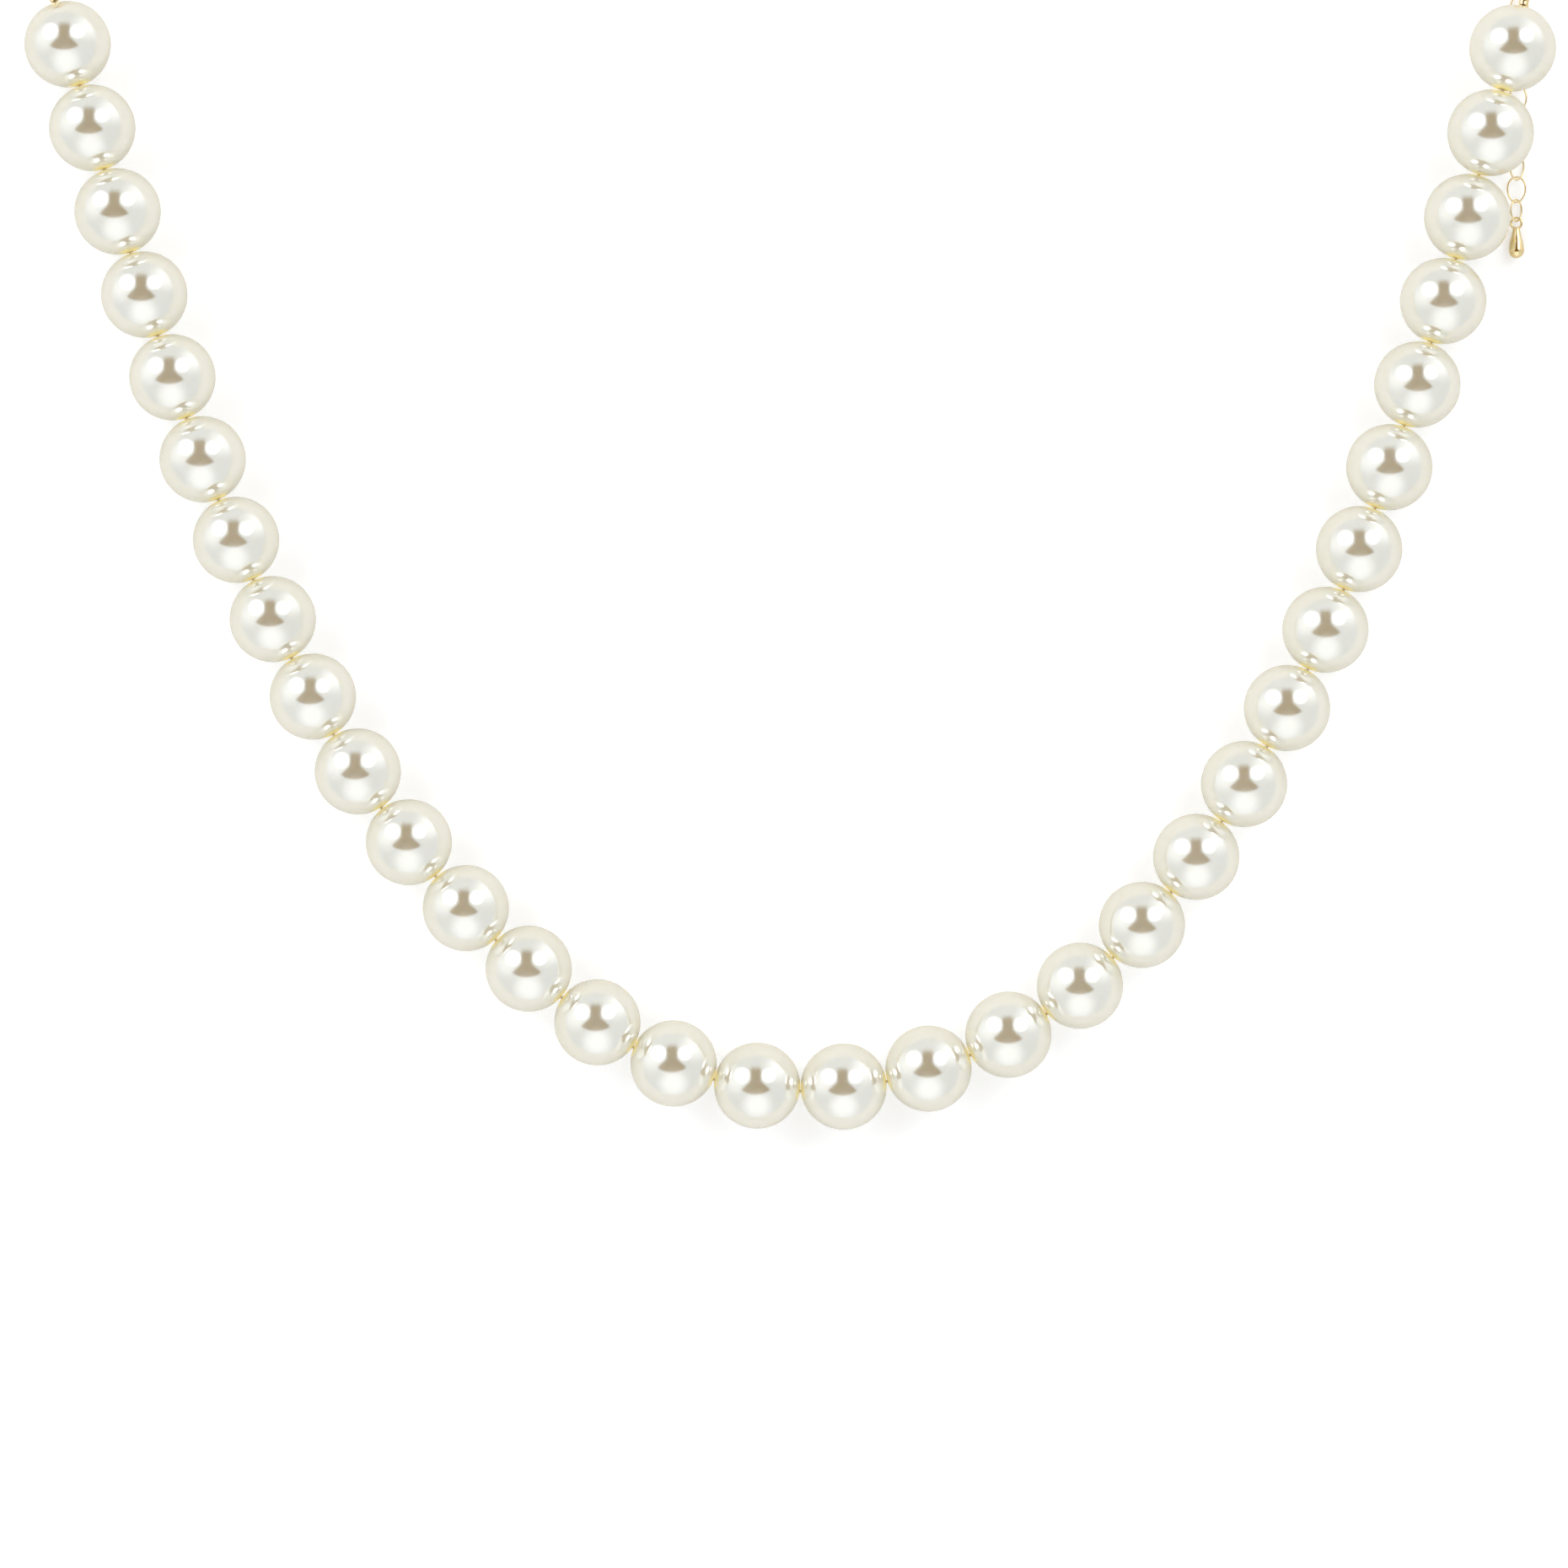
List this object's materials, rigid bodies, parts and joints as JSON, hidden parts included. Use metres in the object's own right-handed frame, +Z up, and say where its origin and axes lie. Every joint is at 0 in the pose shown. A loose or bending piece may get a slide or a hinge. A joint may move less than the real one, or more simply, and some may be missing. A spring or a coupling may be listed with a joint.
{
  "type": "pearl necklace",
  "caption": "Single-strand necklace of large round pearls on a wire, with a lobster clasp, an extender chain and a small teardrop end, laid out as an open U.",
  "frame": {"origin": "middle of the bottom of the necklace's box, on the surface that it lies on", "axes": "+X from the clasp's arm of the U to the extender's arm, +Y from the middle of the strand to its open ends, +Z up"},
  "size_m": [0.2176, 0.1752, 0.0137],
  "materials": {
    "pearl": "pearl lacquer, high gloss",
    "gold": "polished gold colour",
    "beading_wire": "fine stranded wire, gold colour",
    "spring_steel": "satin"
  },
  "bodies": {
    "pearl_16": {"pearl_16": "pearl", "strand_thread": "beading_wire"},
    "pearl_17": {"pearl_17": "pearl"},
    "pearl_18": {"pearl_18": "pearl"},
    "pearl_19": {"pearl_19": "pearl"},
    "pearl_20": {"pearl_20": "pearl"},
    "pearl_21": {"pearl_21": "pearl"},
    "pearl_22": {"pearl_22": "pearl"},
    "pearl_23": {"pearl_23": "pearl"},
    "pearl_24": {"pearl_24": "pearl"},
    "pearl_25": {"pearl_25": "pearl"},
    "pearl_26": {"pearl_26": "pearl"},
    "pearl_27": {"pearl_27": "pearl"},
    "pearl_28": {"pearl_28": "pearl"},
    "pearl_29": {"pearl_29": "pearl"},
    "pearl_30": {"pearl_30": "pearl"},
    "pearl_31": {"pearl_31": "pearl"},
    "pearl_32": {"pearl_32": "pearl", "crimp_right": "gold", "extender_wire_loop": "beading_wire"},
    "pearl_15": {"pearl_15": "pearl"},
    "pearl_14": {"pearl_14": "pearl"},
    "pearl_13": {"pearl_13": "pearl"},
    "pearl_12": {"pearl_12": "pearl"},
    "pearl_11": {"pearl_11": "pearl"},
    "pearl_10": {"pearl_10": "pearl"},
    "pearl_09": {"pearl_09": "pearl"},
    "pearl_08": {"pearl_08": "pearl"},
    "pearl_07": {"pearl_07": "pearl"},
    "pearl_06": {"pearl_06": "pearl"},
    "pearl_05": {"pearl_05": "pearl"},
    "pearl_04": {"pearl_04": "pearl"},
    "pearl_03": {"pearl_03": "pearl"},
    "pearl_02": {"pearl_02": "pearl"},
    "pearl_01": {"pearl_01": "pearl", "crimp_left": "gold", "clasp_wire_loop": "beading_wire"},
    "clasp_jump_ring": {"clasp_jump_ring": "gold"},
    "clasp": {"clasp_body": "gold", "clasp_rivet": "gold", "clasp_spring": "spring_steel"},
    "clasp_lever": {"clasp_lever": "gold"},
    "extender_jump_ring": {"extender_jump_ring": "gold"},
    "extender_link_01": {"extender_link_01": "gold"},
    "extender_link_02": {"extender_link_02": "gold"},
    "extender_link_03": {"extender_link_03": "gold"},
    "extender_link_04": {"extender_link_04": "gold"},
    "extender_link_05": {"extender_link_05": "gold"},
    "extender_link_06": {"extender_link_06": "gold"},
    "extender_link_07": {"extender_link_07": "gold"},
    "extender_link_08": {"extender_link_08": "gold"},
    "extender_link_09": {"extender_link_09": "gold"},
    "extender_link_10": {"extender_link_10": "gold"},
    "drop_link": {"drop_link": "gold"},
    "drop": {"drop": "gold"}
  },
  "joints": [
    {"name": "clasp_lever_hinge", "type": "hinge", "parent": "clasp", "child": "clasp_lever", "pos_m": [-0.10606, 0.07993, 0.0014], "axis": [0, 0, 1], "range_deg": [0, 25], "stiffness_Nm_per_rad": 0.002, "deforming": ["clasp_spring"]},
    {"name": "clasp_swing", "type": "hinge", "parent": "clasp_jump_ring", "child": "clasp", "pos_m": [-0.1035, 0.07724, 0.0014], "axis": [0, 0, 1], "range_deg": [-40, 40]},
    {"name": "clasp_ring_swing", "type": "hinge", "parent": "pearl_01", "child": "clasp_jump_ring", "pos_m": [-0.10264, 0.07433, 0.00395], "axis": [0, 0, 1], "range_deg": [-40, 40]},
    {"name": "drop_swing", "type": "hinge", "parent": "drop_link", "child": "drop", "pos_m": [0.10402, 0.04048, 0.00092], "axis": [0, 0, 1], "range_deg": [-15, 35]},
    {"name": "drop_link_swing", "type": "hinge", "parent": "extender_link_10", "child": "drop_link", "pos_m": [0.10402, 0.04313, 0.00092], "axis": [0, 0, -1], "range_deg": [-35, 15]},
    {"name": "extender_ring_swing", "type": "hinge", "parent": "pearl_32", "child": "extender_jump_ring", "pos_m": [0.10452, 0.07435, 0.00481], "axis": [0, 0, 1], "range_deg": [-3, 30]},
    {"name": "extender_link_01_swing", "type": "hinge", "parent": "extender_jump_ring", "child": "extender_link_01", "pos_m": [0.10452, 0.07513, 0.00112], "axis": [0, 0, -1], "range_deg": [-25, 3]},
    {"name": "extender_link_02_swing", "type": "hinge", "parent": "extender_link_01", "child": "extender_link_02", "pos_m": [0.10447, 0.07193, 0.0008], "axis": [0, 0, 1], "range_deg": [-3, 35]},
    {"name": "extender_link_03_swing", "type": "hinge", "parent": "extender_link_02", "child": "extender_link_03", "pos_m": [0.10442, 0.06873, 0.0008], "axis": [0, 0, -1], "range_deg": [-35, 3]},
    {"name": "extender_link_04_swing", "type": "hinge", "parent": "extender_link_03", "child": "extender_link_04", "pos_m": [0.10437, 0.06553, 0.0008], "axis": [0, 0, 1], "range_deg": [-3, 35]},
    {"name": "extender_link_05_swing", "type": "hinge", "parent": "extender_link_04", "child": "extender_link_05", "pos_m": [0.10432, 0.06233, 0.0008], "axis": [0, 0, -1], "range_deg": [-35, 3]},
    {"name": "extender_link_06_swing", "type": "hinge", "parent": "extender_link_05", "child": "extender_link_06", "pos_m": [0.10427, 0.05913, 0.0008], "axis": [0, 0, 1], "range_deg": [-3, 35]},
    {"name": "extender_link_07_swing", "type": "hinge", "parent": "extender_link_06", "child": "extender_link_07", "pos_m": [0.10422, 0.05593, 0.0008], "axis": [0, 0, -1], "range_deg": [-35, 3]},
    {"name": "extender_link_08_swing", "type": "hinge", "parent": "extender_link_07", "child": "extender_link_08", "pos_m": [0.10417, 0.05273, 0.00092], "axis": [0, 0, 1], "range_deg": [-5, 35]},
    {"name": "extender_link_09_swing", "type": "hinge", "parent": "extender_link_08", "child": "extender_link_09", "pos_m": [0.10412, 0.04953, 0.00092], "axis": [0, 0, -1], "range_deg": [-35, 8]},
    {"name": "extender_link_10_swing", "type": "hinge", "parent": "extender_link_09", "child": "extender_link_10", "pos_m": [0.10407, 0.04633, 0.00092], "axis": [0, 0, 1], "range_deg": [-12, 35]},
    {"name": "strand_bend_01_02", "type": "hinge", "parent": "pearl_02", "child": "pearl_01", "pos_m": [-0.09809, 0.05886, 0.006], "axis": [0, 0, 1], "range_deg": [-15, 15], "deforming": ["strand_thread"]},
    {"name": "strand_bend_02_03", "type": "hinge", "parent": "pearl_03", "child": "pearl_02", "pos_m": [-0.09464, 0.0471, 0.006], "axis": [0, 0, 1], "range_deg": [-14, 16], "deforming": ["strand_thread"]},
    {"name": "strand_bend_03_04", "type": "hinge", "parent": "pearl_04", "child": "pearl_03", "pos_m": [-0.09098, 0.03541, 0.006], "axis": [0, 0, 1], "range_deg": [-14.1, 15.9], "deforming": ["strand_thread"]},
    {"name": "strand_bend_04_05", "type": "hinge", "parent": "pearl_05", "child": "pearl_04", "pos_m": [-0.08714, 0.02377, 0.006], "axis": [0, 0, 1], "range_deg": [-14.1, 15.9], "deforming": ["strand_thread"]},
    {"name": "strand_bend_05_06", "type": "hinge", "parent": "pearl_06", "child": "pearl_05", "pos_m": [-0.08311, 0.0122, 0.006], "axis": [0, 0, 1], "range_deg": [-12.9, 17.1], "deforming": ["strand_thread"]},
    {"name": "strand_bend_06_07", "type": "hinge", "parent": "pearl_07", "child": "pearl_06", "pos_m": [-0.07865, 0.00078, 0.006], "axis": [0, 0, 1], "range_deg": [-12.5, 17.5], "deforming": ["strand_thread"]},
    {"name": "strand_bend_07_08", "type": "hinge", "parent": "pearl_08", "child": "pearl_07", "pos_m": [-0.07371, -0.01043, 0.006], "axis": [0, 0, 1], "range_deg": [-12.9, 17.1], "deforming": ["strand_thread"]},
    {"name": "strand_bend_08_09", "type": "hinge", "parent": "pearl_09", "child": "pearl_08", "pos_m": [-0.06837, -0.02146, 0.006], "axis": [0, 0, 1], "range_deg": [-12, 18], "deforming": ["strand_thread"]},
    {"name": "strand_bend_09_10", "type": "hinge", "parent": "pearl_10", "child": "pearl_09", "pos_m": [-0.06246, -0.03218, 0.006], "axis": [0, 0, 1], "range_deg": [-10.7, 19.3], "deforming": ["strand_thread"]},
    {"name": "strand_bend_10_11", "type": "hinge", "parent": "pearl_11", "child": "pearl_10", "pos_m": [-0.05576, -0.04244, 0.006], "axis": [0, 0, 1], "range_deg": [-9.8, 20.2], "deforming": ["strand_thread"]},
    {"name": "strand_bend_11_12", "type": "hinge", "parent": "pearl_12", "child": "pearl_11", "pos_m": [-0.04815, -0.05205, 0.006], "axis": [0, 0, 1], "range_deg": [-10, 20], "deforming": ["strand_thread"]},
    {"name": "strand_bend_12_13", "type": "hinge", "parent": "pearl_13", "child": "pearl_12", "pos_m": [-0.03975, -0.06095, 0.006], "axis": [0, 0, 1], "range_deg": [-9.6, 20.4], "deforming": ["strand_thread"]},
    {"name": "strand_bend_13_14", "type": "hinge", "parent": "pearl_14", "child": "pearl_13", "pos_m": [-0.03053, -0.06903, 0.006], "axis": [0, 0, 1], "range_deg": [-8.5, 21.5], "deforming": ["strand_thread"]},
    {"name": "strand_bend_14_15", "type": "hinge", "parent": "pearl_15", "child": "pearl_14", "pos_m": [-0.02047, -0.07602, 0.006], "axis": [0, 0, 1], "range_deg": [-2.2, 27.8], "deforming": ["strand_thread"]},
    {"name": "strand_bend_15_16", "type": "hinge", "parent": "pearl_16", "child": "pearl_15", "pos_m": [-0.00914, -0.08059, 0.006], "axis": [0, 0, 1], "range_deg": [-0.7, 29.3], "deforming": ["strand_thread"]},
    {"name": "strand_bend_16_17", "type": "hinge", "parent": "pearl_16", "child": "pearl_17", "pos_m": [0.003, -0.08222, 0.006], "axis": [0, 0, 1], "range_deg": [-29, 1], "deforming": ["strand_thread"]},
    {"name": "strand_bend_17_18", "type": "hinge", "parent": "pearl_17", "child": "pearl_18", "pos_m": [0.01516, -0.08086, 0.006], "axis": [0, 0, 1], "range_deg": [-26.2, 3.8], "deforming": ["strand_thread"]},
    {"name": "strand_bend_18_19", "type": "hinge", "parent": "pearl_18", "child": "pearl_19", "pos_m": [0.02682, -0.07718, 0.006], "axis": [0, 0, 1], "range_deg": [-25.9, 4.1], "deforming": ["strand_thread"]},
    {"name": "strand_bend_19_20", "type": "hinge", "parent": "pearl_19", "child": "pearl_20", "pos_m": [0.03757, -0.07135, 0.006], "axis": [0, 0, 1], "range_deg": [-27, 3], "deforming": ["strand_thread"]},
    {"name": "strand_bend_20_21", "type": "hinge", "parent": "pearl_20", "child": "pearl_21", "pos_m": [0.04688, -0.06343, 0.006], "axis": [0, 0, 1], "range_deg": [-23, 7], "deforming": ["strand_thread"]},
    {"name": "strand_bend_21_22", "type": "hinge", "parent": "pearl_21", "child": "pearl_22", "pos_m": [0.05499, -0.0543, 0.006], "axis": [0, 0, 1], "range_deg": [-21.1, 8.9], "deforming": ["strand_thread"]},
    {"name": "strand_bend_22_23", "type": "hinge", "parent": "pearl_22", "child": "pearl_23", "pos_m": [0.06211, -0.04434, 0.006], "axis": [0, 0, 1], "range_deg": [-19.5, 10.5], "deforming": ["strand_thread"]},
    {"name": "strand_bend_23_24", "type": "hinge", "parent": "pearl_23", "child": "pearl_24", "pos_m": [0.06842, -0.03384, 0.006], "axis": [0, 0, 1], "range_deg": [-18.1, 11.9], "deforming": ["strand_thread"]},
    {"name": "strand_bend_24_25", "type": "hinge", "parent": "pearl_24", "child": "pearl_25", "pos_m": [0.07416, -0.02301, 0.006], "axis": [0, 0, 1], "range_deg": [-18.6, 11.4], "deforming": ["strand_thread"]},
    {"name": "strand_bend_25_26", "type": "hinge", "parent": "pearl_25", "child": "pearl_26", "pos_m": [0.0792, -0.01184, 0.006], "axis": [0, 0, 1], "range_deg": [-18.2, 11.8], "deforming": ["strand_thread"]},
    {"name": "strand_bend_26_27", "type": "hinge", "parent": "pearl_26", "child": "pearl_27", "pos_m": [0.0836, -0.00041, 0.006], "axis": [0, 0, 1], "range_deg": [-16.6, 13.4], "deforming": ["strand_thread"]},
    {"name": "strand_bend_27_28", "type": "hinge", "parent": "pearl_27", "child": "pearl_28", "pos_m": [0.08768, 0.01115, 0.006], "axis": [0, 0, 1], "range_deg": [-16.5, 13.5], "deforming": ["strand_thread"]},
    {"name": "strand_bend_28_29", "type": "hinge", "parent": "pearl_28", "child": "pearl_29", "pos_m": [0.09147, 0.0228, 0.006], "axis": [0, 0, 1], "range_deg": [-16.6, 13.4], "deforming": ["strand_thread"]},
    {"name": "strand_bend_29_30", "type": "hinge", "parent": "pearl_29", "child": "pearl_30", "pos_m": [0.09492, 0.03456, 0.006], "axis": [0, 0, 1], "range_deg": [-15.8, 14.2], "deforming": ["strand_thread"]},
    {"name": "strand_bend_30_31", "type": "hinge", "parent": "pearl_30", "child": "pearl_31", "pos_m": [0.09821, 0.04634, 0.006], "axis": [0, 0, 1], "range_deg": [-14, 14], "deforming": ["strand_thread"]},
    {"name": "strand_bend_31_32", "type": "hinge", "parent": "pearl_31", "child": "pearl_32", "pos_m": [0.10127, 0.05802, 0.0079], "axis": [0, 0, 1], "range_deg": [-4, 13], "deforming": ["strand_thread"]}
  ]
}
